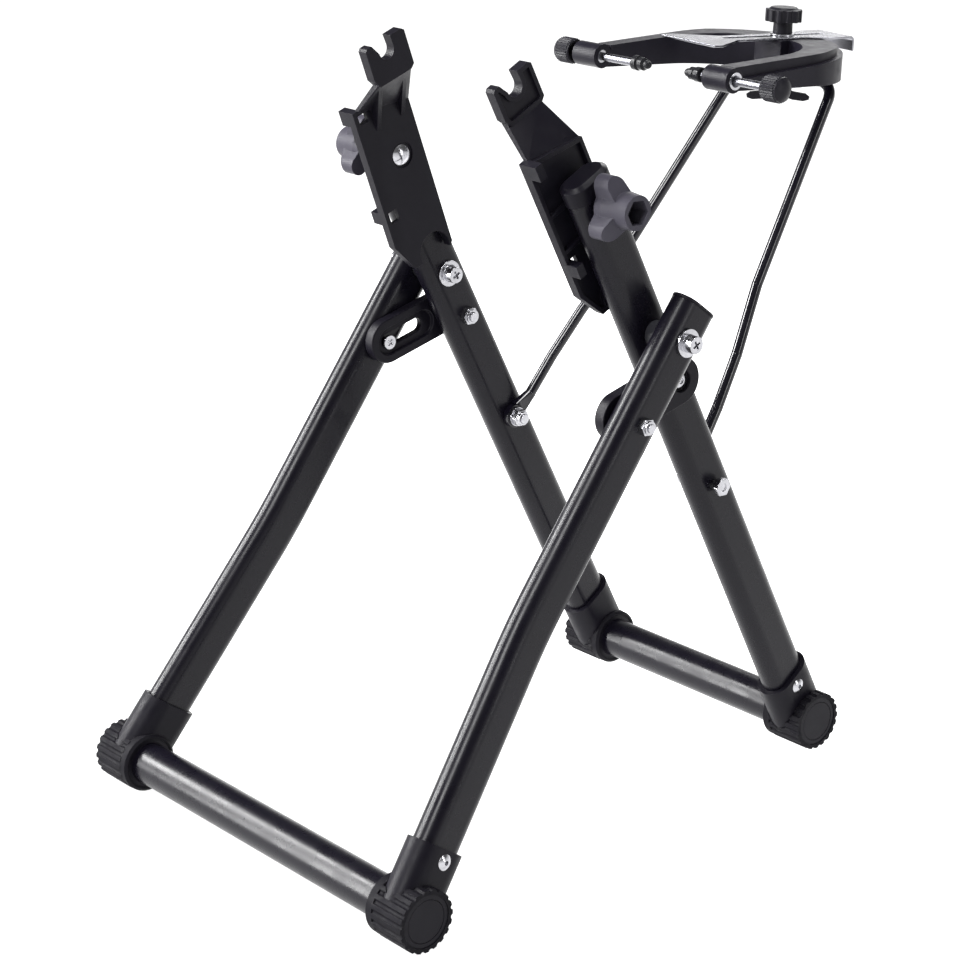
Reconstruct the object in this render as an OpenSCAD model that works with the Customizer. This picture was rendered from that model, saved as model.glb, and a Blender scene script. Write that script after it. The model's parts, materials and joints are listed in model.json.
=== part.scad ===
// Folding bench stand for truing bicycle wheels: two crossed frames of oval tube on four boots,
// a pair of dropout brackets for the axle, and a caliper on a swinging wire arm.

/* [Frame] */
// Diameter of the two cross tubes
cross_d = 25.4; // [22:0.1:28]
// Thickness of the flat-sided oval tubes, across the stand
oval_w = 17.5; // [16:0.5:19]
// Width of the flat-sided oval tubes, front to back
oval_d = 30; // [28:0.5:32]
// Wall of every tube
tube_wall = 1.5; // [1:0.1:2]
// Distance of each upright's centre from the middle of the stand
upright_x = 91; // [90:0.5:92]
// Gap between an upright and the leg beside it
leg_gap = 8; // [8:0.5:9]
// Lean of the uprights, top towards the front
upright_lean = 27.3; // [24:0.1:30]
// Lean of the front legs, feet towards the front
leg_lean = 37; // [34:0.1:40]
// Height of the main pivot above the floor
pivot_z = 299; // [280:1:320]
// Position of the main pivot, front to back
pivot_y = -11.55; // [-20:0.01:20]
// Length of each upright above the main pivot
upright_top = 106; // [104:1:108]
// Length of each leg above the main pivot
leg_top = 20.8; // [18:0.1:24]
// Distance down the leg from the pivot to its outward bend
leg_bend_s = 185; // [170:1:200]
// Distance of each front foot from the middle of the stand
front_foot_x = 131.5; // [130:0.5:134]

/* [Feet] */
// Outer radius of the rubber boots that stand on the floor
boot_r = 18.5; // [18:0.1:19]
// Length of each boot along the cross tube
boot_len = 32; // [31:0.5:33]
// Outer radius of the moulded socket inside each boot
socket_r = 15.5; // [15:0.1:16]
// Height of the moulded sleeve above the cross tube's axis
sleeve_h = 37; // [35:0.5:40]
// Wall of the moulded sleeve around the oval tube
sleeve_wall = 3; // [2.5:0.1:3.2]

/* [Links] */
// Distance down the upright from the main pivot to the link's bolt
link_bolt_s = 33.3; // [33:0.1:34]
// Distance down the leg from the main pivot to the slot pin
slot_pin_s = 53.3; // [53:0.1:54]
// Radius of the link's rounded ends
link_r = 14; // [13:0.5:15]
// Half width of the link's through slot
slot_r = 4.35; // [4.3:0.05:4.5]
// Half width of the recess around the slot
recess_r = 8.5; // [8:0.1:9]
// Angle that the link lags the slot pin by at rest
link_lag = 1; // [0.8:0.1:2]

/* [Dropout brackets] */
// Distance up the upright from the main pivot to the clamp bolt
clamp_s = 91; // [89:0.5:92]
// Distance from the middle of the stand to the bracket plate's inner face
plate_x = 75; // [75:0.1:75.5]
// Distance from the middle of the stand to the dropout's inner face
dropout_x = 57; // [56:0.5:58]
// Thickness of the dropout plate
dropout_t = 5; // [4:0.5:6]
// Radius of the axle notch
notch_r = 5.6; // [5.2:0.1:5.8]
// Angle that the left bracket has swivelled back on its bolt
left_swivel = 7.2; // [0:0.1:7.2]

/* [Wire arm] */
// Radius of the wire
wire_r = 3.5; // [3:0.1:3.6]
// Distance down the upright from the main pivot to the arm's bolts
arm_bolt_s = 115.7; // [112:0.1:118]
// Distance from the arm's bolts to the top bar
arm_len = 264.2; // [255:0.1:270]
// Swing of the arm back from upright
arm_swing = 36.6; // [30:0.1:45]
// Distance of each side wire from the middle, at its gentle bend
arm_waist_x = 58; // [56:0.5:60]
// Distance of each side wire from the middle, at the top bar
arm_top_x = 40.5; // [39:0.5:42]

/* [Caliper] */
// Tilt of the caliper, nose up
caliper_tilt = 3; // [0:0.5:8]
// Outer radius of the crown
crown_r = 62; // [61:0.5:63]
// Width of each caliper arm
caliper_arm_w = 15; // [14:0.5:16]
// Distance from the top bar to the feelers' axis
feeler_reach = 117.1; // [114:0.1:118]
// Radius of the feeler's threaded rod
feeler_r = 2.5; // [2.5:0.1:2.6]
// Position of the left feeler's tip across the stand
left_tip_x = 4; // [3:0.1:6]
// Position of the right feeler's tip across the stand
right_tip_x = 25.7; // [22:0.1:30]
// Yaw of the pointer plate
plate_yaw = 8.5; // [0:0.5:10]
// Width of the pointer plate's nose
nose_w = 54; // [50:1:56]

/* [Hidden] */
$fn = 64;
LEFT = -1;
RIGHT = 1;

fit = 0.05;                    // radial clearance of a bolt in its hole
gap = 0.1;                     // clearance between two faces that slide on each other
foot_z = boot_r;
tube_in = upright_x - oval_w / 2;
tube_out = upright_x + oval_w / 2;
leg_x = tube_out + leg_gap + oval_w / 2;
leg_in = leg_x - oval_w / 2;
leg_out = leg_x + oval_w / 2;
upright_down = (pivot_z - foot_z) / cos(upright_lean);
leg_drop = (pivot_z - foot_z) / cos(leg_lean) - leg_bend_s;
leg_splay = atan((front_foot_x - leg_x) / leg_drop);
leg_low = leg_drop / cos(leg_splay);
rear_y = pivot_y + upright_down * sin(upright_lean);
front_y = pivot_y - (leg_bend_s + leg_drop) * sin(leg_lean);
tube_stop = cross_d / 2 + 0.5; // the oval tubes end this far above a cross tube's axis
plug_t = 3.5;                  // thickness of the end plugs
pivot_r = 4;
m6_r = 3;
m6_across = 10;
m8_r = 4;
m8_across = 13;
slot_pin_r = 2.5;
rivet_r = 2.4;
rear_rivet_s = 29.8;           // height of each rivet along its sleeve, from the cross tube's axis
front_rivet_s = 31.7;
rear_boot_x = upright_x - 14.5;
front_boot_x = front_foot_x - 15;
black = "#18181b";
grey = "#3a3a40";
steel = "#c4c6ca";

// ---- places ----

module sided(side) {
    if (side > 0) children();
    else mirror([1, 0, 0]) children();
}

module both() {
    for (side = [LEFT, RIGHT]) sided(side) children();
}

// x across the stand, y towards the back, z up along the upright
module on_upright(side) sided(side) translate([0, pivot_y, pivot_z]) rotate([upright_lean, 0, 0]) children();

// x across the stand, y towards the back, z up along the straight part of the leg
module on_leg(side) sided(side) translate([0, pivot_y, pivot_z]) rotate([-leg_lean, 0, 0]) children();

// the splayed lower part of the leg, with its own centre line as z
module on_shin(side) on_leg(side) translate([leg_x, 0, -leg_bend_s]) rotate([0, -leg_splay, 0]) children();

// the lower end of an upright, with the tube's centre line as z and the cross tube's axis at 0
module on_rear_foot(side) on_upright(side) translate([upright_x, 0, -upright_down]) children();

module on_front_foot(side) on_shin(side) translate([0, 0, -leg_low]) children();

// the bracket's own frame, swivelled on the clamp bolt
module on_bracket(side, swivel) on_upright(side) translate([0, 0, clamp_s]) rotate([-swivel, 0, 0])
    translate([0, 0, -clamp_s]) children();

// x across the stand, z along the wire arm from its bolts
module on_arm() translate([0, pivot_y, pivot_z]) rotate([upright_lean, 0, 0]) translate([0, 0, -arm_bolt_s])
    rotate([-upright_lean - arm_swing, 0, 0]) children();

// the caliper's frame: origin on the top bar's axis, nose towards -y
module on_caliper() on_arm() translate([0, 0, arm_len]) rotate([arm_swing - caliper_tilt, 0, 0]) children();

// the pointer plate's frame: origin on the stem, nose towards -y
module on_plate() on_caliper() translate([0, stem_y, 0]) rotate([0, 0, -plate_yaw]) children();

// ---- simple shapes ----

// outline of an oval tube: two flats joined by half circles
function oval(w, d, n = 20) = [for (s = [1, -1]) for (i = [0:n]) let (a = 180 * i / n)
    [s * w / 2 * cos(a), s * ((d - w) / 2 + w / 2 * sin(a))]];

module oval_bar(w, d, z0, z1) translate([0, 0, z0]) linear_extrude(z1 - z0) polygon(oval(w, d));

// a flat outline drawn in y and z, made solid between two places across the stand
module slab(x0, x1) translate([x0, 0, 0]) rotate([90, 0, 90]) linear_extrude(x1 - x0) children();

module bar_x(x0, x1, r) translate([x0, 0, 0]) rotate([0, 90, 0]) cylinder(h = x1 - x0, r = r);

module cone_x(x0, x1, r0, r1) translate([x0, 0, 0]) rotate([0, 90, 0]) cylinder(h = x1 - x0, r1 = r0, r2 = r1);

module hex_x(x0, x1, across) translate([x0, 0, 0]) rotate([0, 90, 0])
    cylinder(h = x1 - x0, r = across / 2 / cos(30), $fn = 6);

// low dome on the outer side of x0
module dome_x(x0, r, h) translate([x0, 0, 0]) rotate([0, 90, 0]) intersection() {
    ball = (r * r + h * h) / (2 * h);
    translate([0, 0, h - ball]) sphere(r = ball);
    cylinder(h = h, r = r + 1);
}

// lock nut: hexagon with a round collar on its outer side
module lock_nut(x0, x1, across, bore) {
    collar = (x1 - x0) * 0.28;
    dir = x1 > x0 ? 1 : -1;
    difference() {
        union() {
            hex_x(min(x0, x1 - collar), max(x0, x1 - collar), across);
            bar_x(min(x1 - collar - dir, x1), max(x1 - collar - dir, x1), across * 0.44);
        }
        bar_x(min(x0, x1) - 1, max(x0, x1) + 1, bore);
    }
}

// cross recess of a screw head, cut from x inwards
module cross_recess(x0, x1, size) for (a = [0, 90]) rotate([a, 0, 0])
    translate([min(x0, x1), -size / 2, -size / 8]) cube([abs(x1 - x0), size, size / 4]);

// disc with n round grooves in its rim
module scalloped(r, n, bite) difference() {
    circle(r);
    for (i = [0:n - 1]) rotate(360 * (i + 0.5) / n) translate([r + bite * 0.35, 0]) circle(bite, $fn = 24);
}

// ---- rear frame ----

module upright(side) color(black) on_upright(side) difference() {
    translate([upright_x, 0, 0]) difference() {
        oval_bar(oval_w, oval_d, tube_stop - upright_down, upright_top);
        oval_bar(oval_w - 2 * tube_wall, oval_d - 2 * tube_wall, tube_stop - upright_down - 1, upright_top + 1);
    }
    for (hole = [[0, pivot_r], [-link_bolt_s, m6_r], [-arm_bolt_s, m6_r], [clamp_s, m8_r]])
        translate([0, 0, hole[0]]) bar_x(tube_in - 1, tube_out + 1, hole[1] + fit);
    translate([0, 0, rear_rivet_s - upright_down]) bar_x(upright_x, tube_out + 1, rivet_r + fit);
}

module upright_left() upright(LEFT);

module upright_right() upright(RIGHT);

module upright_end_caps() color(black) for (side = [LEFT, RIGHT]) on_upright(side) translate([upright_x, 0, 0])
    difference() {
        union() {
            oval_bar(oval_w + 1.5, oval_d + 1.5, upright_top - 8.5, upright_top + 0.5);
            hull() {
                oval_bar(oval_w + 1.5, oval_d + 1.5, upright_top + 0.4, upright_top + 1);
                oval_bar(oval_w - 4, oval_d - 4, upright_top + 1, upright_top + 3.2);
            }
        }
        oval_bar(oval_w + 0.1, oval_d + 0.1, upright_top - 9, upright_top);
    }

// a cross tube between two boots, with its ends inside the sockets
module cross_tube(end_x) difference() {
    bar_x(-end_x, end_x, cross_d / 2);
    bar_x(-end_x - 1, end_x + 1, cross_d / 2 - tube_wall);
}

module rear_cross_tube() color(black) translate([0, rear_y, foot_z])
    cross_tube(rear_boot_x + boot_len - plug_t - 1);

// moulded elbow that joins an oval tube to the end of a cross tube; x0 is its inner end, and the
// children put its sleeve in line with the tube
module socket(x0, y, side) difference() {
    union() {
        sided(side) translate([0, y, foot_z]) bar_x(x0 + 0.5, x0 + boot_len - 0.5, socket_r);
        children(0);
    }
    sided(side) translate([0, y, foot_z]) bar_x(x0 - 1, x0 + boot_len + 1, cross_d / 2 + fit);
    children(1);
}

// the sleeve's outside, with its rim slanted up towards the back
module sleeve(height, slant) difference() {
    oval_bar(oval_w + 2 * sleeve_wall, oval_d + 2 * sleeve_wall, 0, height + 8);
    translate([-30, 0, height]) rotate([slant, 0, 0]) translate([0, -40, 0]) cube([60, 80, 30]);
}

// what is cut from the sleeve: the oval tube's own space and the rivet's hole
module sleeve_core(hole_s) {
    oval_bar(oval_w + 2 * fit, oval_d + 2 * fit, tube_stop - 4, sleeve_h + 20);
    translate([0, 0, hole_s]) bar_x(0, oval_w / 2 + sleeve_wall + 1, rivet_r + fit);
}

module rear_socket(side) color(black) socket(rear_boot_x, rear_y, side) {
    on_rear_foot(side) sleeve(sleeve_h, 8);
    on_rear_foot(side) sleeve_core(rear_rivet_s);
}

module rear_socket_left() rear_socket(LEFT);

module rear_socket_right() rear_socket(RIGHT);

tread_n = 20;     // grooves around each boot
tread_bite = 1.7; // radius of each groove
tread_in = 6;     // the grooves run from here to the boot's outer end

// rubber boot: a thick grooved ring with an arch over the sleeve
module boot(x0, y, side) difference() {
    sided(side) translate([0, y, foot_z]) difference() {
        union() {
            cone_x(x0, x0 + 1.5, boot_r - 1.8, boot_r - 0.3);
            bar_x(x0 + 1.5, x0 + tread_in + 0.5, boot_r - 0.3);
            slab(x0 + tread_in, x0 + boot_len) scalloped(boot_r, tread_n, tread_bite);
        }
        bar_x(x0 - 1, x0 + boot_len + 1, socket_r + fit);
    }
    children();
}

module arch() oval_bar(oval_w + 2 * sleeve_wall + 0.4, oval_d + 2 * sleeve_wall + 0.4, 0, 60);

module rear_boots() color(black) for (side = [LEFT, RIGHT]) boot(rear_boot_x, rear_y, side)
    on_rear_foot(side) arch();

module end_plug(x0, y, side) sided(side) translate([0, y, foot_z]) {
    bar_x(x0 + boot_len - plug_t, x0 + boot_len - 0.6, cross_d / 2 - 0.1);
    bar_x(x0 + boot_len - plug_t - 7, x0 + boot_len - plug_t + 1, cross_d / 2 - tube_wall - fit);
}

module rear_end_plugs() color(black) for (side = [LEFT, RIGHT]) end_plug(rear_boot_x, rear_y, side);

// blind rivet: dome with the broken mandrel's hole, and a short body through the sleeve and tube
module rivet(x0) difference() {
    union() {
        dome_x(x0 + 0.02, 4.75, 1.7);
        bar_x(x0 - sleeve_wall - tube_wall - 1.5, x0 + 0.6, rivet_r);
    }
    bar_x(x0 - 1, x0 + 3, 1.3);
}

module rear_rivets() color(steel) for (side = [LEFT, RIGHT])
    on_rear_foot(side) translate([0, 0, rear_rivet_s]) rivet(oval_w / 2 + sleeve_wall);

// ---- main pivot ----

flange_r = 8.25;
flange_t = 1.8;

// shoulder screw from the leg's outer face, with a broad flange and a tall cross-recessed head
module pivot_screws() color(steel) for (side = [LEFT, RIGHT]) on_upright(side) difference() {
    union() {
        bar_x(leg_out + gap, leg_out + gap + flange_t, flange_r);
        cone_x(leg_out + gap + flange_t - 0.2, leg_out + 8, 5.4, 5);
        bar_x(tube_in - 4, leg_out + gap + 1, pivot_r);
    }
    cross_recess(leg_out + 5, leg_out + 9, 5.6);
}

module pivot_sleeve_nuts() color(steel) for (side = [LEFT, RIGHT]) on_upright(side) difference() {
    union() {
        bar_x(tube_in - gap - flange_t, tube_in - gap, flange_r);
        cone_x(tube_in - 8, tube_in - flange_t, 5, 5.4);
    }
    bar_x(tube_in - 4.5, tube_in + 1, pivot_r + fit);
    cross_recess(tube_in - 9, tube_in - 5.5, 5.6);
}

module pivot_spacers() color(grey) for (side = [LEFT, RIGHT]) on_upright(side) difference() {
    bar_x(tube_out + fit, leg_in - 0.15, 8);
    bar_x(tube_out - 1, leg_in + 1, pivot_r + fit);
}

// ---- bolts of the rear frame ----

module link_bolts() color(steel) for (side = [LEFT, RIGHT]) on_upright(side) translate([0, 0, -link_bolt_s])
    difference() {
        union() {
            bar_x(tube_in - 7.5, leg_in - 2.6, m6_r);
            dome_x(leg_in - 2.7, 5.6, 2.2);
        }
        hex_x(leg_in - 1.7, leg_in, 3.4);
    }

module link_bolt_nuts() color(steel) for (side = [LEFT, RIGHT]) on_upright(side) translate([0, 0, -link_bolt_s])
    lock_nut(tube_in - 0.05, tube_in - 6, m6_across, m6_r + fit);

eye_x0 = tube_in - 4.45; // inner face of the wire arm's eye
eye_x1 = tube_in - 0.35;

module arm_bolts() color(steel) for (side = [LEFT, RIGHT]) on_upright(side) translate([0, 0, -arm_bolt_s])
    difference() {
        union() {
            bar_x(eye_x0 - 8.2, tube_out + 3.6, m6_r);
            hex_x(tube_out + 3.5, tube_out + 7.4, m6_across);
        }
        bar_x(tube_out + 6.6, tube_out + 8, 2.4);
    }

module arm_washers() color(steel) for (side = [LEFT, RIGHT]) on_upright(side) translate([0, 0, -arm_bolt_s])
    difference() {
        bar_x(eye_x0 - 1.4, eye_x0 - gap, 6.2);
        bar_x(eye_x0 - 2, eye_x0 + 1, m6_r + fit);
    }

module arm_bolt_nuts() color(steel) for (side = [LEFT, RIGHT]) on_upright(side) translate([0, 0, -arm_bolt_s])
    lock_nut(eye_x0 - 1.5, eye_x0 - 7.3, m6_across, m6_r + fit);

// ---- front frame ----

module leg(side) color(black) difference() {
    union() {
        on_leg(side) translate([leg_x, 0, 0]) oval_bar(oval_w, oval_d, -leg_bend_s - 0.4, leg_top);
        on_shin(side) oval_bar(oval_w, oval_d, tube_stop - leg_low, 0.4);
    }
    on_leg(side) translate([leg_x, 0, 0])
        oval_bar(oval_w - 2 * tube_wall, oval_d - 2 * tube_wall, -leg_bend_s - 0.2, leg_top + 1);
    on_shin(side) oval_bar(oval_w - 2 * tube_wall, oval_d - 2 * tube_wall, tube_stop - leg_low - 1, 0.2);
    on_leg(side) bar_x(leg_in - 1, leg_out + 1, pivot_r + fit);
    on_leg(side) translate([0, 0, -slot_pin_s]) bar_x(leg_in - 1, leg_out + 1, slot_pin_r + fit);
    on_front_foot(side) translate([0, 0, front_rivet_s]) bar_x(0, oval_w, rivet_r + fit);
}

module leg_left() leg(LEFT);

module leg_right() leg(RIGHT);

module leg_end_caps() color(black) for (side = [LEFT, RIGHT]) on_leg(side) translate([leg_x, 0, 0]) {
    oval_bar(oval_w + 0.4, oval_d + 0.4, leg_top + 0.02, leg_top + 2);
    oval_bar(oval_w - 2 * tube_wall - 0.2, oval_d - 2 * tube_wall - 0.2, leg_top - 8, leg_top + 1);
}

module front_cross_tube() color(black) translate([0, front_y, foot_z])
    cross_tube(front_boot_x + boot_len - plug_t - 1);

module front_socket(side) color(black) socket(front_boot_x, front_y, side) {
    on_front_foot(side) sleeve(sleeve_h + 1.5, 2);
    on_front_foot(side) sleeve_core(front_rivet_s);
}

module front_socket_left() front_socket(LEFT);

module front_socket_right() front_socket(RIGHT);

module front_boots() color(black) for (side = [LEFT, RIGHT]) boot(front_boot_x, front_y, side)
    on_front_foot(side) arch();

module front_end_plugs() color(black) for (side = [LEFT, RIGHT]) end_plug(front_boot_x, front_y, side);

module front_rivets() color(steel) for (side = [LEFT, RIGHT])
    on_front_foot(side) translate([0, 0, front_rivet_s]) rivet(oval_w / 2 + sleeve_wall);

module slot_pins() color(steel) for (side = [LEFT, RIGHT]) on_leg(side) translate([0, 0, -slot_pin_s])
    difference() {
        union() {
            bar_x(tube_out + 2.5, leg_out + 6.4, slot_pin_r);
            bar_x(tube_out + 0.5, tube_out + 2.6, 4.5);
        }
        cross_recess(tube_out, tube_out + 1.7, 4.4);
    }

module slot_pin_nuts() color(steel) for (side = [LEFT, RIGHT]) on_leg(side) translate([0, 0, -slot_pin_s])
    lock_nut(leg_out + 0.05, leg_out + 5.4, 9, slot_pin_r + fit);

// ---- links ----

// direction from the link's bolt to the slot pin at rest, turned from down the upright to the front
open_angle = upright_lean + leg_lean;
link_turn = atan2(slot_pin_s * sin(open_angle), slot_pin_s * cos(open_angle) - link_bolt_s) + link_lag;
slot_far = 49.4;
slot_near = 25.6;
recess_near = 21.8;

// outline along -z from the bolt
module pill(r, z0, z1) hull() for (z = [z0, z1]) translate([0, -z]) circle(r);

module link(side) color(black) on_upright(side) translate([0, 0, -link_bolt_s]) rotate([-link_turn, 0, 0])
    difference() {
        slab(tube_out + 0.3, leg_in - 0.3) pill(link_r, 0, slot_far);
        slab(tube_out, tube_out + 2.75) pill(recess_r, recess_near, slot_far);
        slab(tube_out, leg_in + 1) pill(slot_r, slot_near, slot_far);
        bar_x(tube_out, leg_in, m6_r + fit);
        bar_x(leg_in - 2.9, leg_in, 6.6);
    }

module link_left() link(LEFT);

module link_right() link(RIGHT);

// ---- dropout brackets ----

plate_t = 3.2;
rim_x = tube_in - 1.2;
front_w = -25;
back_w = 16.5;
tab_w = 5.2;
tab_x = plate_x + 13.5;
notch_w = -0.6;
notch_s = 163.4;
web_front = -21;
rib_s = [69, 93];
arch_w = 2.5; // the arch in the lower edge, over the main pivot's nut
arch_s = 24;
arch_r = 11.5;

module plate_outline() difference() {
    polygon([[front_w, 131], [front_w, 40], [-15, 20.5], [back_w - 2, 20.5], [back_w, 23], [back_w, 122]]);
    translate([arch_w, arch_s]) circle(arch_r);
    translate([arch_w - arch_r, arch_s - 12]) square([2 * arch_r, 12]);
}

// dropout plate: two arms around the axle notch, the notch flaring up to the front
module dropout_outline() difference() {
    polygon([[-12, 145], [-15, 150], [-15, 168.5], [-13.5, 170], [13.5, 170.3], [15.3, 168.8], [15.3, 147.2],
        [12.5, 145]]);
    translate([notch_w, notch_s]) circle(notch_r);
    polygon([[notch_w - notch_r, notch_s], [-11, 172], [4.4, 172], [notch_w + notch_r, notch_s]]);
}

module gusset(w) translate([0, w + 1.5, 0]) rotate([90, 0, 0]) linear_extrude(3)
    polygon([[plate_x + 1, 111], [plate_x + 2, 126], [dropout_x + 3, 148], [dropout_x + 0.5, 148]]);

module bracket(side, swivel) color(black) on_bracket(side, swivel) difference() {
    union() {
        slab(plate_x, plate_x + plate_t) plate_outline();
        slab(plate_x + plate_t - 0.5, rim_x) difference() {
            plate_outline();
            offset(delta = -2.4) plate_outline();
        }
        translate([0, 0, clamp_s]) bar_x(plate_x + 1, tube_in - 0.1, 6.2);
        for (s = rib_s) translate([plate_x + 2, front_w + 1, s]) cube([rim_x - plate_x - 2, 15, 2]);
        for (tab = [[55, 8], [121.5, 9.5]])
            translate([plate_x, front_w, tab[0]]) cube([tab_x - plate_x, tab_w, tab[1]]);
        hull() {
            translate([plate_x, web_front, 129.5]) cube([plate_t, 1, 1]);
            translate([plate_x, back_w - 1, 121]) cube([plate_t, 1, 1]);
            translate([dropout_x, -13, 146]) cube([dropout_t, 25.5, 1]);
        }
        slab(dropout_x, dropout_x + dropout_t) dropout_outline();
        slab(dropout_x + dropout_t - 0.5, dropout_x + dropout_t + 2) difference() {
            dropout_outline();
            offset(delta = -2.6) dropout_outline();
        }
        for (w = [-10.5, 9]) gusset(w);
    }
    for (hole = [[55.2, 7.6], [122, 6]])
        translate([plate_x - 1, front_w + 3, hole[0]]) cube([plate_t + 2, 6.5, hole[1]]);
    translate([0, 0, clamp_s]) bar_x(plate_x - 1, tube_in + 1, m8_r + fit);
    translate([0, 0, clamp_s]) bar_x(plate_x - 1, plate_x + 0.9, 8);
}

module bracket_left() bracket(LEFT, left_swivel);

module bracket_right() bracket(RIGHT, 0);

knob_x = tube_out + 0.15; // inner end of the wing knob
knob_face = tube_out + 27;
nut_x = knob_x + 8;       // inner face of the knob's nut
wing_reach = 20;          // from the bolt's axis to the end of each wing

function wing_turn(side) = side == LEFT ? -14 : -6;

// round-headed clamp bolt, its shank running out through the upright and the knob
module clamp_bolt(side) color(steel) on_upright(side) translate([0, 0, clamp_s]) {
    bar_x(plate_x + 0.6, nut_x + 9, m8_r);
    sided(LEFT) dome_x(-plate_x - 0.75, 6.75, 3);
}

module clamp_bolt_left() clamp_bolt(LEFT);

module clamp_bolt_right() clamp_bolt(RIGHT);

// a wing: broad at its round end, drawn out from the bolt's axis
module wing_outline() hull() {
    circle(7);
    translate([0, wing_reach - 6]) circle(6);
}
wing_slope = -24; // the wings' outer faces fall away from the hub

// three-winged knob with a hexagonal pocket over its nut
module wing_knob(side) color(grey) on_upright(side) translate([0, 0, clamp_s]) difference() {
    union() {
        bar_x(knob_x, knob_x + 3.2, 6.2);
        cone_x(knob_x + 3, knob_x + 9, 10.5, 11.5);
        cone_x(knob_x + 8.9, knob_face, 11.5, 9.8);
        for (i = [0:2]) rotate([120 * i + wing_turn(side), 0, 0]) difference() {
            slab(knob_x + 3.5, knob_face - 1.5) wing_outline();
            translate([knob_x + 17, -12, 11.4]) rotate([0, wing_slope, 0]) translate([0, 0, -10]) cube([20, 24, 40]);
        }
    }
    bar_x(knob_x - 1, nut_x + 1, m8_r + 2 * fit);
    hex_x(nut_x, knob_face + 1, m8_across + 0.2);
}

module wing_knob_left() wing_knob(LEFT);

module wing_knob_right() wing_knob(RIGHT);

module wing_knob_nut(side) color(steel) on_upright(side) translate([0, 0, clamp_s]) difference() {
    hex_x(nut_x + 0.05, nut_x + 6.5, m8_across);
    bar_x(nut_x - 1, nut_x + 8, m8_r + 2 * fit);
}

module wing_knob_nut_left() wing_knob_nut(LEFT);

module wing_knob_nut_right() wing_knob_nut(RIGHT);

// ---- wire arm ----

eye_r = 7.6;
bend_r = 13;
waist_z = 126;
root_z = 17; // where the round wire leaves its flattened eye
root_x = eye_x0 - 1.6;
low_bends = [[74, 45], [68.8, 80]]; // the lower wire bulges outwards through these places, in x and z
upper_lean = atan((arm_waist_x - arm_top_x) / (arm_len - waist_z));
bend_x = arm_top_x - bend_r * tan((90 - upper_lean) / 2); // centre of the top bend
bend_z = arm_len - bend_r;

module wire(a, b) translate([a[0], 0, a[1]]) rotate([0, atan2(b[0] - a[0], b[1] - a[1]), 0])
    cylinder(h = norm(b - a), r = wire_r);

// the bends are a hair thicker than the straight wire, which ends just inside them
bend_wire_r = wire_r + 0.02;
bend_tuck = 0.1;
low_path = concat([[root_x, root_z - 0.3]], low_bends, [[arm_waist_x, waist_z]]);

module wire_arm() color(black) on_arm() {
    translate([0, 0, arm_len]) bar_x(-bend_x - bend_tuck, bend_x + bend_tuck, wire_r);
    both() difference() {
        union() {
            translate([bend_x, 0, bend_z]) rotate([90, 0, 0]) rotate([0, 0, upper_lean])
                rotate_extrude(angle = 90 - upper_lean) translate([bend_r, 0]) circle(bend_wire_r);
            wire([arm_waist_x, waist_z], [bend_x + bend_r * cos(upper_lean) - bend_tuck * sin(upper_lean),
                bend_z + bend_r * sin(upper_lean) + bend_tuck * cos(upper_lean)]);
            for (i = [1:len(low_path) - 1]) {
                wire(low_path[i - 1], low_path[i]);
                translate([low_path[i][0], 0, low_path[i][1]]) sphere(r = wire_r + 0.06);
            }
            hull() {
                translate([eye_x0, -5, 6.4]) cube([eye_x1 - eye_x0, 10, 1]);
                translate([root_x, 0, root_z]) cylinder(h = 0.5, r = wire_r + 0.15, $fn = 32);
            }
            bar_x(eye_x0, eye_x1, eye_r);
        }
        bar_x(eye_x0 - 1, eye_x1 + 1, m6_r + fit);
    }
}

// ---- caliper ----

crown_y = -42;            // centre of the crown's outer arc
throat_y = -57;           // centre of its inner arc
crown_v0 = wire_r + 0.3;  // underside, just above the top bar
crown_wall = 21.3;        // top of the outer wall at the back
crown_top = 24;
ridge_inset = 3.6;
slope_y = -20;            // the top and the underside close in from here to the front
feeler_v = 12.95;
boss_r = 7.4;
boss_in = 46;
boss_out = 65.8;
stem_y = -6.3;
stem_r = 2.5;

module crown_outer() {
    translate([0, crown_y]) circle(crown_r);
    translate([-crown_r, 4 - feeler_reach]) square([2 * crown_r, feeler_reach - 4 + crown_y]);
}

module crown_outline() {
    difference() {
        crown_outer();
        translate([0, throat_y]) circle(crown_r - caliper_arm_w);
        translate([caliper_arm_w - crown_r, -2 * feeler_reach])
            square([2 * (crown_r - caliper_arm_w), 2 * feeler_reach + throat_y]);
    }
    translate([-11, -19]) square([22, 22]);
}

// everything above or below a plane that tips down towards the front from y and v
module crown_cut(y, v, tip, below = false) translate([-crown_r - 1, y, v]) rotate([tip, 0, 0])
    translate([0, -2 * feeler_reach, below ? -20 : 0]) cube([2 * crown_r + 2, 2 * feeler_reach, 20]);

module caliper_crown() color(black) on_caliper() difference() {
    union() {
        difference() {
            union() {
                difference() {
                    translate([0, 0, crown_v0]) linear_extrude(crown_top - crown_v0 - 0.5) crown_outline();
                    crown_cut(crown_r + crown_y + 2, crown_wall, 3.9);
                }
                translate([0, 0, crown_v0]) linear_extrude(crown_top - crown_v0) intersection() {
                    crown_outline();
                    offset(delta = -ridge_inset) crown_outer();
                }
            }
            crown_cut(slope_y, crown_top, 3);
            crown_cut(slope_y, crown_v0, -1.4, true);
        }
        both() translate([0, -feeler_reach, feeler_v]) bar_x(boss_in, boss_out, boss_r);
        both() translate([crown_r - caliper_arm_w + 1.5, -feeler_reach, feeler_v - 5.5])
            cube([caliper_arm_w - 3, 8, 11]);
    }
    both() translate([0, -feeler_reach, feeler_v]) bar_x(boss_in - 1, boss_out + 1, 4 + fit);
    translate([0, stem_y, 0]) cylinder(h = 30, r = stem_r + fit);
}

clip_r = 6;
clip_in = wire_r + 0.3;

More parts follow.
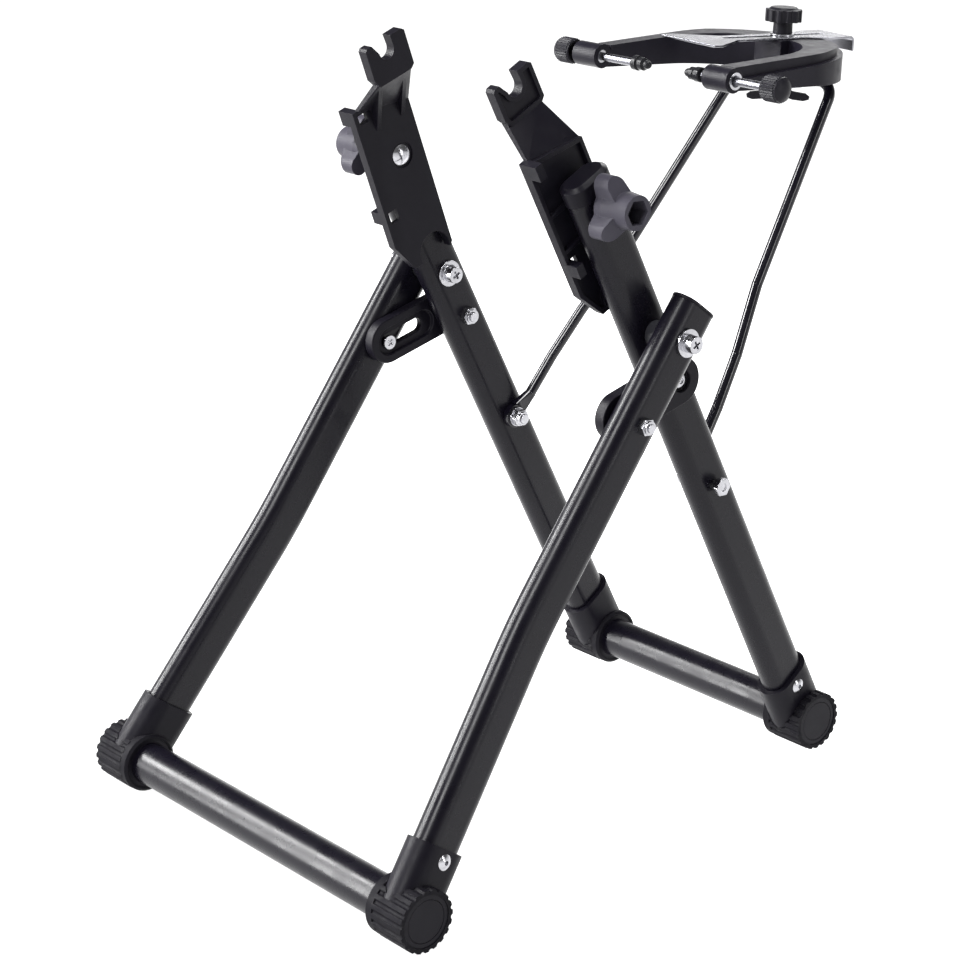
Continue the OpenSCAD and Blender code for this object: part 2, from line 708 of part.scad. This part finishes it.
// strap that hooks behind the top bar and under it, with a flange for the stem
module caliper_clip() color(steel) on_caliper() difference() {
    slab(-13, 13) {
        difference() {
            circle(clip_r);
            circle(clip_in);
            translate([-10, -10]) square([10, 20]);
            translate([-1, crown_v0 - 0.05]) square(10);
        }
        translate([-18, -clip_r]) square([18.1, clip_r - clip_in]);
        translate([-18, -clip_r]) square([2.2, clip_r + crown_v0 - 0.05]);
    }
    translate([0, stem_y, -10]) cylinder(h = 10, r = stem_r + fit);
}

module stem_bolt() color(steel) on_caliper() translate([0, stem_y, -15.5]) cylinder(h = 53, r = stem_r);

module feeler_bushes() color(steel) on_caliper() both() translate([0, -feeler_reach, feeler_v]) difference() {
    union() {
        bar_x(boss_in + 0.5, boss_out + 1, 4);
        bar_x(boss_out + 0.02, boss_out + 1.4, 5.2);
    }
    bar_x(boss_in - 1, boss_out + 2, feeler_r + fit);
    cone_x(boss_out + 0.3, boss_out + 1.5, feeler_r, 3.8);
}

nut_v = -clip_r - 0.15;

// wing nut under the clip, its two wings hanging below the hub
module clip_wing_nut() color(black) on_caliper() translate([0, stem_y, nut_v]) difference() {
    union() {
        translate([0, 0, -7]) cylinder(h = 7, r1 = 4.4, r2 = 5.2);
        for (a = [0, 180]) rotate([90, 0, nut_turn + a]) translate([0, 0, -1.3]) linear_extrude(2.6)
            polygon([[2, -1], [2, -6], [9, -8.3], [16, -9], [19.5, -8], [20, -6], [17.5, -4.2], [10, -3.2]]);
    }
    translate([0, 0, -12]) cylinder(h = 14, r = stem_r + fit);
}
nut_turn = 49;

// ---- pointer plate ----

plate_v = crown_top + gap;
plate_th = 1.5;
nose_y = -74;
tail_y = 42.5;
neck_w = 19;
tail_w = 32;
slot_w = 5.6;
slot_front = -44;
slot_back = 30.5;
lip_h = 8;
lip_r = 3.2;

module pointer_outline() difference() {
    polygon([[-nose_w / 2, nose_y], [nose_w / 2, nose_y], [nose_w / 2, nose_y + 7], [neck_w / 2, -42],
        [neck_w / 2, 12], [tail_w / 2, 27], [tail_w / 2, tail_y], [-tail_w / 2, tail_y], [-tail_w / 2, 27],
        [-neck_w / 2, 12], [-neck_w / 2, -42], [-nose_w / 2, nose_y + 7]]);
    for (y = [slot_front, slot_back]) translate([0, y]) circle(slot_w / 2);
    translate([-slot_w / 2, slot_front]) square([slot_w, slot_back - slot_front]);
}

// thin plate with a sliding slot and a lip turned down at its tail
module pointer_plate() color(steel) on_plate() translate([0, 0, plate_v]) {
    linear_extrude(plate_th) pointer_outline();
    slab(-tail_w / 2, tail_w / 2) {
        difference() {
            translate([tail_y, plate_th - lip_r]) circle(lip_r);
            translate([tail_y, plate_th - lip_r]) circle(lip_r - plate_th);
            translate([tail_y - 5, -10]) square([5, 20]);
            translate([tail_y - 5, -10]) square([10, plate_th - lip_r + 10]);
        }
        translate([tail_y + lip_r - plate_th, -lip_h]) square([plate_th, lip_h + plate_th - lip_r]);
    }
}

washer_v = plate_v + plate_th + gap;

module pointer_washer() color(steel) on_plate() translate([0, 0, washer_v]) difference() {
    cylinder(h = 1.1, r = 7.5);
    translate([0, 0, -1]) cylinder(h = 4, r = stem_r + fit);
}

knob_v = washer_v + 1.1 + gap;

module plate_knob() color(black) on_caliper() translate([0, stem_y, knob_v]) difference() {
    union() {
        cylinder(h = 7.5, r1 = 6.2, r2 = 6);
        translate([0, 0, 7.4]) linear_extrude(7.6) scalloped(11.6, 12, 2.2);
        translate([0, 0, 14.9]) cylinder(h = 1.5, r1 = 9.6, r2 = 8);
    }
    translate([0, 0, -1]) cylinder(h = 14.5, r = stem_r + fit);
}

// ---- feelers ----

tip_len = 14;
rod_in = 6.5;   // the rod's inner end, from the feeler's tip
knob_in = 66.5; // the knob's inner face, from the feeler's tip
knob_len = 11;

function tip_x(side) = side == LEFT ? left_tip_x : right_tip_x;

// x outwards from the feeler's own tip
module on_feeler(side) on_caliper() translate([0, -feeler_reach, feeler_v]) sided(side)
    translate([tip_x(side), 0, 0]) children();

// soft tip: a round nose on a thicker body, with a collar that holds the rod
tip_nose = 2.6;
tip_body = 3.9;
tip_collar = 4.5;

module feeler_tip(side) color(black) on_feeler(side) rotate([0, 90, 0]) rotate_extrude() polygon(concat(
    [for (a = [0:15:90]) [tip_nose * sin(a), tip_nose - tip_nose * cos(a)]],
    [[tip_nose, 4], [tip_body, 5.2], [tip_body, 8.4], [3.4, 8.8], [3.4, 9.6], [tip_collar, 10],
        [tip_collar, tip_len - 0.6], [tip_collar - 0.6, tip_len], [feeler_r + fit, tip_len],
        [feeler_r + fit, rod_in - 0.2], [0, rod_in - 0.2]]));

module feeler_tip_left() feeler_tip(LEFT);

module feeler_tip_right() feeler_tip(RIGHT);

module feeler_rod(side) color(steel) on_feeler(side) bar_x(rod_in, knob_in + knob_len, feeler_r);

module feeler_rod_left() feeler_rod(LEFT);

module feeler_rod_right() feeler_rod(RIGHT);

// outline of a grip with n straight ridges
function ridged(r, n, depth) = [for (i = [0:2 * n - 1]) let (a = 180 * i / n, q = r - (i % 2) * depth)
    [q * cos(a), q * sin(a)]];

module feeler_knob(side) color(black) on_feeler(side) difference() {
    union() {
        bar_x(knob_in, knob_in + 1.2, 7.3);
        slab(knob_in + 1, knob_in + knob_len) polygon(ridged(8, 30, 0.6));
        cone_x(knob_in + knob_len - 0.1, knob_in + knob_len + 1.2, 7.4, 7.2);
        dome_x(knob_in + knob_len + 1.1, 7.1, 2.4);
    }
    bar_x(knob_in - 1, knob_in + knob_len + fit, feeler_r + fit);
    bar_x(knob_in - 1, knob_in + 4, 6.1);
}

module feeler_knob_left() feeler_knob(LEFT);

module feeler_knob_right() feeler_knob(RIGHT);

upright_left();
upright_right();
upright_end_caps();
rear_cross_tube();
rear_socket_left();
rear_socket_right();
rear_boots();
rear_end_plugs();
rear_rivets();
pivot_screws();
pivot_sleeve_nuts();
pivot_spacers();
link_bolts();
link_bolt_nuts();
arm_bolts();
arm_bolt_nuts();
arm_washers();
leg_left();
leg_right();
leg_end_caps();
front_cross_tube();
front_socket_left();
front_socket_right();
front_boots();
front_end_plugs();
front_rivets();
slot_pins();
slot_pin_nuts();
link_left();
link_right();
bracket_left();
bracket_right();
clamp_bolt_left();
clamp_bolt_right();
wing_knob_left();
wing_knob_right();
wing_knob_nut_left();
wing_knob_nut_right();
wire_arm();
caliper_crown();
caliper_clip();
stem_bolt();
feeler_bushes();
clip_wing_nut();
pointer_washer();
pointer_plate();
plate_knob();
feeler_tip_left();
feeler_tip_right();
feeler_rod_left();
feeler_rod_right();
feeler_knob_left();
feeler_knob_right();
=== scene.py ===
import json
import math

import bmesh
import bpy
from mathutils import Matrix, Vector


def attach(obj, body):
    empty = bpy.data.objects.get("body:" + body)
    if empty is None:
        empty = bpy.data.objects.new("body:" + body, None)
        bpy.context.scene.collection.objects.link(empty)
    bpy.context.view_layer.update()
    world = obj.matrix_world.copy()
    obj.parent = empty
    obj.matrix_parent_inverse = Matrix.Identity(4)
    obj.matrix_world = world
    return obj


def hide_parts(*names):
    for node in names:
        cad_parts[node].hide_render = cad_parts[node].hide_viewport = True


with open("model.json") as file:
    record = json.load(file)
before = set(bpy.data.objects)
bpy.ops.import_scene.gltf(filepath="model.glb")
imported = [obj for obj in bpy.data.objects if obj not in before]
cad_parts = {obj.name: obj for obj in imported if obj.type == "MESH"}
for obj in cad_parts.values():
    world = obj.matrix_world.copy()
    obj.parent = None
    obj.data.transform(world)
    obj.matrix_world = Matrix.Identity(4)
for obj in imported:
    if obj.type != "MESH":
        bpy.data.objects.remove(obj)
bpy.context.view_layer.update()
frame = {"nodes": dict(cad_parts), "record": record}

MM = 0.001
NODES = frame["nodes"]
BODIES = frame["record"]["behaviour"]["bodies"]
BODY_OF = {name: body for body, members in BODIES.items() for name in members}
SLOT_OF = {part["node"]: part["material_slot"] for part in frame["record"]["subparts"]}

# ---- camera ----

CAMERA_AT = Vector((1.1141, -1.0196, 0.7008))
CAMERA_AZIMUTH = math.radians(49.21)
CAMERA_ELEVATION = math.radians(18.91)
CAMERA_LENS = 98.0
SENSOR_WIDTH = 36
CLIP_END = 50  # beyond the floor's far edge, in metres


def make_camera():
    azimuth, elevation = CAMERA_AZIMUTH, CAMERA_ELEVATION
    level = math.cos(elevation)
    back = Vector((math.sin(azimuth) * level, -math.cos(azimuth) * level, math.sin(elevation)))
    right = Vector((math.cos(azimuth), math.sin(azimuth), 0))
    up = back.cross(right)
    data = bpy.data.cameras.new("camera")
    data.lens = CAMERA_LENS
    data.sensor_width = SENSOR_WIDTH
    data.clip_end = CLIP_END
    camera = bpy.data.objects.new("camera", data)
    turn = Matrix((right, up, back)).transposed().to_4x4()
    camera.matrix_world = Matrix.Translation(CAMERA_AT) @ turn
    bpy.context.scene.collection.objects.link(camera)
    bpy.context.scene.camera = camera


make_camera()

# ---- material helpers ----

BEVEL_SAMPLES = 4


def set_range(ramp, start, end, low, high):
    """Makes a map range node carry start..end to low..high."""
    values = {"From Min": start, "From Max": end, "To Min": low, "To Max": high}
    for socket, value in values.items():
        ramp.inputs[socket].default_value = value


class Shader:
    """A principled material and the few node patterns that the finishes share."""

    def __init__(self, name, colour, roughness, metallic=0.0, **sockets):
        self.material = bpy.data.materials.new(name)
        self.material.use_nodes = True
        self.tree = self.material.node_tree
        self.bsdf = self.tree.nodes["Principled BSDF"]
        self.bsdf.inputs["Base Color"].default_value = (*colour, 1)
        self.bsdf.inputs["Roughness"].default_value = roughness
        self.bsdf.inputs["Metallic"].default_value = metallic
        for socket, value in sockets.items():
            self.bsdf.inputs[socket.replace("_", " ")].default_value = value
        self.place = self.tree.nodes.new("ShaderNodeTexCoord").outputs["Object"]
        self.normal = None

    def node(self, kind, **values):
        made = self.tree.nodes.new(kind)
        for key, value in values.items():
            setattr(made, key, value)
        return made

    def link(self, source, target):
        self.tree.links.new(source, target)

    def noise(self, size, detail, stretch=(1, 1, 1)):
        """Noise with features about size metres across, drawn out along the axes by stretch."""
        mapping = self.node("ShaderNodeMapping")
        mapping.inputs["Scale"].default_value = [1 / (size * s) for s in stretch]
        self.link(self.place, mapping.inputs["Vector"])
        noise = self.node("ShaderNodeTexNoise")
        noise.inputs["Scale"].default_value = 1
        noise.inputs["Detail"].default_value = detail
        self.link(mapping.outputs["Vector"], noise.inputs["Vector"])
        return noise.outputs["Fac"]

    def cells(self, size):
        """Grains about size metres across."""
        mapping = self.node("ShaderNodeMapping")
        mapping.inputs["Scale"].default_value = [1 / size] * 3
        self.link(self.place, mapping.inputs["Vector"])
        cells = self.node("ShaderNodeTexVoronoi")
        cells.inputs["Scale"].default_value = 1
        self.link(mapping.outputs["Vector"], cells.inputs["Vector"])
        return cells.outputs["Distance"]

    def spread(self, source, low, high, start=0.3, end=0.7):
        """Maps a pattern's start..end to low..high."""
        ramp = self.node("ShaderNodeMapRange")
        set_range(ramp, start, end, low, high)
        self.link(source, ramp.inputs["Value"])
        return ramp.outputs["Result"]

    def vary_colour(self, source, other, amount=1.0):
        """Mixes the base colour towards other where source is high."""
        mix = self.node("ShaderNodeMix", data_type="RGBA")
        current = self.bsdf.inputs["Base Color"]
        if current.links:
            self.link(current.links[0].from_socket, mix.inputs["A"])
        else:
            mix.inputs["A"].default_value = current.default_value
        mix.inputs["B"].default_value = (*other, 1)
        self.link(self.spread(source, 0, amount), mix.inputs["Factor"])
        self.link(mix.outputs["Result"], current)

    def vary_roughness(self, source, low, high):
        self.link(self.spread(source, low, high), self.bsdf.inputs["Roughness"])

    def bump(self, source, depth):
        """Adds a bump of that depth in metres on top of the ones before it."""
        bump = self.node("ShaderNodeBump")
        bump.inputs["Distance"].default_value = depth
        bump.inputs["Strength"].default_value = 1
        self.link(source, bump.inputs["Height"])
        if self.normal is not None:
            self.link(self.normal, bump.inputs["Normal"])
        self.normal = bump.outputs["Normal"]
        self.link(self.normal, self.bsdf.inputs["Normal"])

    def soft_edges(self, radius):
        """Rounds the shading of hard edges. It comes before any bump."""
        bevel = self.node("ShaderNodeBevel", samples=BEVEL_SAMPLES)
        bevel.inputs["Radius"].default_value = radius
        self.normal = bevel.outputs["Normal"]
        self.link(self.normal, self.bsdf.inputs["Normal"])

    def worn_edges(self, radius, colour, amount):
        """Lightens the coating where the surface turns sharply."""
        bevel = self.node("ShaderNodeBevel", samples=BEVEL_SAMPLES)
        bevel.inputs["Radius"].default_value = radius
        flat = self.node("ShaderNodeNewGeometry").outputs["Normal"]
        dot = self.node("ShaderNodeVectorMath", operation="DOT_PRODUCT")
        self.link(bevel.outputs["Normal"], dot.inputs[0])
        self.link(flat, dot.inputs[1])
        edge = self.spread(dot.outputs["Value"], 1, 0, 0.8, 0.99)
        patchy = self.node("ShaderNodeMath", operation="MULTIPLY")
        self.link(edge, patchy.inputs[0])
        self.link(self.spread(self.noise(0.004, 4), 0, 1, 0.4, 0.65), patchy.inputs[1])
        self.vary_colour(patchy.outputs["Value"], colour, amount)


# ---- finishes ----

COAT_BLACK = (0.0026, 0.0021, 0.0048)
RUBBER_BLACK = (0.0026, 0.0022, 0.004)
PLATE_STEEL = (0.30, 0.30, 0.32)


def powder_coat(name, roughness, specular):
    """Black satin powder coat with a fine orange peel."""
    s = Shader(name, COAT_BLACK, roughness, Specular_IOR_Level=specular)
    s.bump(s.noise(0.9 * MM, 2), 0.005 * MM)
    s.bump(s.cells(0.35 * MM), 0.002 * MM)
    s.vary_roughness(s.noise(14 * MM, 4), roughness - 0.04, roughness + 0.06)
    s.vary_colour(s.noise(30 * MM, 3), (0.0045, 0.0038, 0.0075), 0.6)
    s.vary_colour(s.noise(1.6 * MM, 5), (0.006, 0.0055, 0.009), 0.4)
    return s.material


def moulded(name, colour, lighter, roughness, grain=0.3 * MM, depth=0.02 * MM):
    """Textured moulding: spark-eroded grain, faint flow marks and lighter rubbed edges."""
    s = Shader(name, colour, roughness, Specular_IOR_Level=0.12)
    s.soft_edges(0.35 * MM)
    s.bump(s.cells(grain), depth)
    s.bump(s.noise(2.5 * grain, 4), 0.6 * depth)
    s.vary_roughness(s.noise(9 * MM, 5), roughness - 0.07, roughness + 0.08)
    s.vary_colour(s.noise(22 * MM, 4, (1, 1, 2.5)), lighter, 0.7)
    s.worn_edges(0.4 * MM, [min(1, 2.6 * c) for c in lighter], 0.6)
    return s.material


def rubber(name):
    """Dull black rubber, mottled and a little rubbed at the ribs."""
    s = Shader(name, RUBBER_BLACK, 0.6, Specular_IOR_Level=0.1)
    s.soft_edges(0.4 * MM)
    s.bump(s.noise(0.5 * MM, 5), 0.03 * MM)
    s.vary_roughness(s.noise(6 * MM, 4), 0.52, 0.72)
    s.vary_colour(s.noise(12 * MM, 5), (0.006, 0.0055, 0.0085), 0.8)
    s.worn_edges(0.5 * MM, (0.07, 0.07, 0.07), 0.5)
    return s.material


def plated(name, colour, roughness, stretch=(1, 1, 1), scratch=0.6 * MM):
    """Bright plating with fine scratches and a cloudy polish."""
    s = Shader(name, colour, roughness, 1.0)
    s.soft_edges(0.25 * MM)
    s.bump(s.noise(scratch, 5, stretch), 0.004 * MM)
    s.vary_roughness(s.noise(3 * MM, 5), max(0.05, roughness - 0.06), roughness + 0.1)
    s.vary_colour(s.noise(5 * MM, 3), [0.72 * c for c in colour], 0.7)
    return s.material


def brushed(name):
    """Thin plated sheet, brushed along its length."""
    s = Shader(name, PLATE_STEEL, 0.3, 1.0, Anisotropic=0.4)
    s.soft_edges(0.2 * MM)
    grain = s.noise(0.35 * MM, 3, (1, 40, 1))
    s.bump(grain, 0.004 * MM)
    s.vary_roughness(grain, 0.16, 0.32)
    s.vary_colour(s.noise(8 * MM, 4, (1, 4, 1)), (0.26, 0.26, 0.29), 0.7)
    return s.material


# the main and the lighter colour of each moulded finish
MOULDED_COLOURS = {
    "moulded_black": ((0.0042, 0.0036, 0.0066), (0.0075, 0.0068, 0.0105)),
    "knob_grey": ((0.034, 0.032, 0.043), (0.050, 0.047, 0.061)),
    "spacer_black": ((0.014, 0.014, 0.017), (0.02, 0.02, 0.024)),
    "nut_black": ((0.012, 0.012, 0.015), (0.02, 0.02, 0.024)),
    "caliper_black": ((0.0068, 0.006, 0.010), (0.011, 0.010, 0.0155)),
    "knob_black": ((0.009, 0.0085, 0.0115), (0.016, 0.0155, 0.020)),
    "tip_black": ((0.01, 0.01, 0.012), (0.016, 0.016, 0.018)),
}
# roughness, then the grain's size and depth where they aren't the usual ones
MOULDED_SURFACE = {
    "moulded_black": (0.4,), "knob_grey": (0.45,), "spacer_black": (0.45,), "nut_black": (0.35,),
    "caliper_black": (0.38,), "knob_black": (0.38, 0.2 * MM),
    "tip_black": (0.2, 0.2 * MM, 0.004 * MM),
}
FINISHES = {
    "frame_black": powder_coat("frame_black", 0.27, 0.22),
    "wire_black": powder_coat("wire_black", 0.15, 0.5),
    "boot_rubber": rubber("boot_rubber"),
    "zinc": plated("zinc", (0.56, 0.56, 0.59), 0.18),
    "rod_steel": plated("rod_steel", (0.17, 0.17, 0.19), 0.28, (30, 1, 1), 0.3 * MM),
    "pointer_steel": brushed("pointer_steel"),
}
for name, colours in MOULDED_COLOURS.items():
    FINISHES[name] = moulded(name, *colours, *MOULDED_SURFACE[name])


def dress(obj, slot):
    """Gives a piece the finish of its material slot."""
    obj.data.materials.clear()
    obj.data.materials.append(FINISHES[slot])


for name, node in NODES.items():
    dress(node, SLOT_OF[name])

# ---- rounded shells ----

# radius of the edges of each CAD piece that is given rounded edges, in millimetres
EDGE_RADIUS = {
    "bracket_left": 0.6, "bracket_right": 0.6, "link_left": 0.8, "link_right": 0.8,
    "caliper_crown": 0.9, "wing_knob_left": 1.2, "wing_knob_right": 1.2, "pointer_plate": 0.35,
    "upright_end_caps": 0.6, "leg_end_caps": 0.5, "rear_socket_left": 0.6, "rear_socket_right": 0.6,
    "front_socket_left": 0.6, "front_socket_right": 0.6, "rear_boots": 0.5, "front_boots": 0.5,
    "clip_wing_nut": 0.4, "plate_knob": 0.5, "caliper_clip": 0.4,
    "link_bolt_nuts": 0.3, "arm_bolt_nuts": 0.3, "slot_pin_nuts": 0.3, "arm_bolts": 0.3,
    "pivot_screws": 0.35, "pivot_sleeve_nuts": 0.35, "slot_pins": 0.3, "link_bolts": 0.25,
    "rear_end_plugs": 0.3, "front_end_plugs": 0.3,
}
SHARP = math.radians(32)
FLAT = math.radians(0.4)  # faces closer in direction than this are one flat face
WELD = 2e-6
ROUNDING_SEGMENTS = 2


def rounded_shell(name, radius):
    """Makes a copy of a CAD piece with its hard edges rounded, which replaces it."""
    mesh = NODES[name].data.copy()
    bm = bmesh.new()
    bm.from_mesh(mesh)
    bmesh.ops.remove_doubles(bm, verts=bm.verts, dist=WELD)
    bmesh.ops.dissolve_limit(bm, angle_limit=FLAT, verts=bm.verts, edges=bm.edges)
    for face in bm.faces:
        face.smooth = True
    bm.to_mesh(mesh)
    bm.free()
    shell = bpy.data.objects.new(name + "_shell", mesh)
    bpy.context.scene.collection.objects.link(shell)
    bevel = shell.modifiers.new("rounding", "BEVEL")
    bevel.width = radius * MM
    bevel.segments = ROUNDING_SEGMENTS
    bevel.limit_method = "ANGLE"
    bevel.angle_limit = SHARP
    bevel.harden_normals = False
    bevel.use_clamp_overlap = True
    weighted = shell.modifiers.new("shading", "WEIGHTED_NORMAL")
    weighted.keep_sharp = True
    dress(shell, SLOT_OF[name])
    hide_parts(name)
    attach(shell, BODY_OF[name])


for name, radius in EDGE_RADIUS.items():
    rounded_shell(name, radius)

# ---- front legs, bent in one smooth sweep ----

# the pivot and the leg's measures in its own frame, in millimetres and degrees
PIVOT_Y, PIVOT_Z, FOOT_Z = -11.55, 299.0, 18.5
LEG_LEAN = math.radians(37)
LEG_X, FOOT_X = 116.5, 131.5
LEG_TOP, LEG_BEND, LEG_STOP = 20.8, 185.0, 13.2
OVAL_W, OVAL_D, TUBE_WALL = 17.5, 30.0, 1.5
BEND_RADIUS = 420.0
RIM_RADIUS = 0.3
RIM_SHARP = math.radians(60)
UPPER_STEPS, BEND_STEPS, LOWER_STEPS, ARC_STEPS = 4, 14, 3, 14
LEG_DROP = (PIVOT_Z - FOOT_Z) / math.cos(LEG_LEAN) - LEG_BEND
LEG_SPLAY = math.atan((FOOT_X - LEG_X) / LEG_DROP)


def oval_outline(width, depth):
    """Points of a flat-sided oval: two half circles joined by flats."""
    half, flat = width / 2, (depth - width) / 2
    points = []
    for end in (1, -1):
        for i in range(ARC_STEPS + 1):
            turn = math.pi * i / ARC_STEPS
            points.append((end * half * math.cos(turn), end * (flat + half * math.sin(turn))))
    return points


def leg_stations():
    """Places down the leg as (x, z, turn): straight, then a gentle bend, then straight."""
    tangent = BEND_RADIUS * math.tan(LEG_SPLAY / 2)
    top_end = -LEG_BEND + tangent
    stations = [(LEG_X, LEG_TOP, 0)]
    for i in range(UPPER_STEPS):
        stations.append((LEG_X, LEG_TOP + (top_end - LEG_TOP) * (i + 1) / UPPER_STEPS, 0))
    for i in range(1, BEND_STEPS + 1):
        turn = LEG_SPLAY * i / BEND_STEPS
        x = LEG_X + BEND_RADIUS * (1 - math.cos(turn))
        stations.append((x, top_end - BEND_RADIUS * math.sin(turn), turn))
    x, z, turn = stations[-1]
    rest = LEG_DROP / math.cos(LEG_SPLAY) - LEG_STOP - tangent
    for i in range(1, LOWER_STEPS + 1):
        along = rest * i / LOWER_STEPS
        stations.append((x + along * math.sin(turn), z - along * math.cos(turn), turn))
    return stations


def swept_leg(side, name):
    """One hollow oval tube, swept through the leg's stations as a closed skin."""
    lean = Matrix.Rotation(-LEG_LEAN, 4, "X")
    place = Matrix.Translation((0, PIVOT_Y, PIVOT_Z)) @ lean
    stations = leg_stations()
    inner = oval_outline(OVAL_W - 2 * TUBE_WALL, OVAL_D - 2 * TUBE_WALL)
    loops = [(oval_outline(OVAL_W, OVAL_D), station) for station in stations]
    loops += [(inner, station) for station in reversed(stations)]
    verts, faces = [], []
    for outline, (x, z, turn) in loops:
        for u, v in outline:
            at = place @ Vector((x + u * math.cos(turn), v, z + u * math.sin(turn)))
            verts.append((side * at.x * MM, at.y * MM, at.z * MM))
    count = len(inner)
    for ring in range(len(loops)):
        here, there = ring * count, (ring + 1) % len(loops) * count
        for i in range(count):
            j = (i + 1) % count
            faces.append((here + i, here + j, there + j, there + i))
    mesh = bpy.data.meshes.new(name)
    mesh.from_pydata(verts, [], faces)
    bm = bmesh.new()
    bm.from_mesh(mesh)
    bmesh.ops.recalc_face_normals(bm, faces=bm.faces)
    for face in bm.faces:
        face.smooth = True
    bm.to_mesh(mesh)
    bm.free()
    leg = bpy.data.objects.new(name, mesh)
    bpy.context.scene.collection.objects.link(leg)
    rims = leg.modifiers.new("rims", "BEVEL")
    rims.width = RIM_RADIUS * MM
    rims.segments = ROUNDING_SEGMENTS
    rims.limit_method = "ANGLE"
    rims.angle_limit = RIM_SHARP
    weighted = leg.modifiers.new("shading", "WEIGHTED_NORMAL")
    weighted.keep_sharp = True
    return leg


for side, node in ((-1, "leg_left"), (1, "leg_right")):
    leg = swept_leg(side, node + "_tube")
    dress(leg, SLOT_OF[node])
    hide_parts(node)
    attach(leg, BODY_OF[node])

# ---- studio ----

FLOOR_HALF = 24
FLOOR_DROP = 0.2 * MM
PAINTED_POOL_AT = (-0.5, 0.6, 0)  # the centre of a painted pool of light on the floor, behind the stand's left side, that the tubes reflect
PAINTED_POOL_REACH = (0.25, 0.9)  # distances from there over which the painted pool of light falls to the floor's even glow
# the floor's glow inside the painted pool of light, then its even glow farther out
GLOW = (2.3, 0.97)
HORIZON = (0.12, 0.32)  # heights of the sky's direction over which it falls to grey
SKY = (1.0, 0.14)
LIGHT_AIM = (0, 0, 0.25)
# each area light's place, its size in metres and its power in watts
LIGHTS = {
    "strip": ((-1.5, -1.8, 0.8), (0.3, 2.0), 80),
    "high_strip": ((-1.6, -1.0, 1.3), (0.3, 1.4), 65),
    "key": ((0.5, -2.1, 2.1), (0.7, 0.9), 48),
    "fill": ((2.3, 0.6, 1.0), (0.3, 1.6), 12),
    "rim": ((-0.9, 1.9, 1.6), (1.2, 0.8), 26),
    "top": ((0.2, 0.1, 2.4), (0.5, 1.0), 34),
}


def area_light(name, at, size, power):
    data = bpy.data.lights.new(name, "AREA")
    data.shape = "RECTANGLE"
    data.size, data.size_y = size
    data.energy = power
    light = bpy.data.objects.new(name, data)
    light.location = at
    light.rotation_euler = (Vector(LIGHT_AIM) - Vector(at)).to_track_quat("-Z", "Y").to_euler()
    bpy.context.scene.collection.objects.link(light)


def make_floor():
    """A wide white floor that glows, since the photo's background is plain white."""
    mesh = bpy.data.meshes.new("floor")
    corners = [(FLOOR_HALF * x, FLOOR_HALF * y, 0) for x, y in ((-1, -1), (1, -1), (1, 1), (-1, 1))]
    mesh.from_pydata(corners, [], [(0, 1, 2, 3)])
    floor = bpy.data.objects.new("floor", mesh)
    floor.location.z = -FLOOR_DROP
    bpy.context.scene.collection.objects.link(floor)
    white = (1, 1, 1, 1)
    s = Shader("floor", (0.25, 0.25, 0.25), 0.8, Specular_IOR_Level=0.05, Emission_Color=white)
    s.vary_roughness(s.noise(0.3, 3), 0.75, 0.85)
    offset = s.node("ShaderNodeVectorMath", operation="DISTANCE")
    offset.inputs[1].default_value = PAINTED_POOL_AT
    s.link(s.place, offset.inputs[0])
    # painted pool of light: the floor glows 2.3 near its centre and falls to an even 0.97 farther
    # out
    glow = s.spread(offset.outputs["Value"], *GLOW, *PAINTED_POOL_REACH)
    s.link(glow, s.bsdf.inputs["Emission Strength"])
    mesh.materials.append(s.material)


def make_sky():
    """A world that is white near the horizon and dark grey above."""
    world = bpy.data.worlds.new("studio")
    world.use_nodes = True
    tree = world.node_tree
    place = tree.nodes.new("ShaderNodeTexCoord").outputs["Generated"]
    split = tree.nodes.new("ShaderNodeSeparateXYZ")
    fade = tree.nodes.new("ShaderNodeMapRange")
    set_range(fade, *HORIZON, *SKY)
    tree.links.new(place, split.inputs["Vector"])
    tree.links.new(split.outputs["Z"], fade.inputs["Value"])
    tree.links.new(fade.outputs["Result"], tree.nodes["Background"].inputs["Strength"])
    tree.nodes["Background"].inputs["Color"].default_value = (1, 1, 1, 1)
    bpy.context.scene.world = world


make_floor()
make_sky()
for name, (at, size, power) in LIGHTS.items():
    area_light(name, at, size, power)
view = bpy.context.scene.view_settings
view.view_transform = "Standard"
view.look = "None"
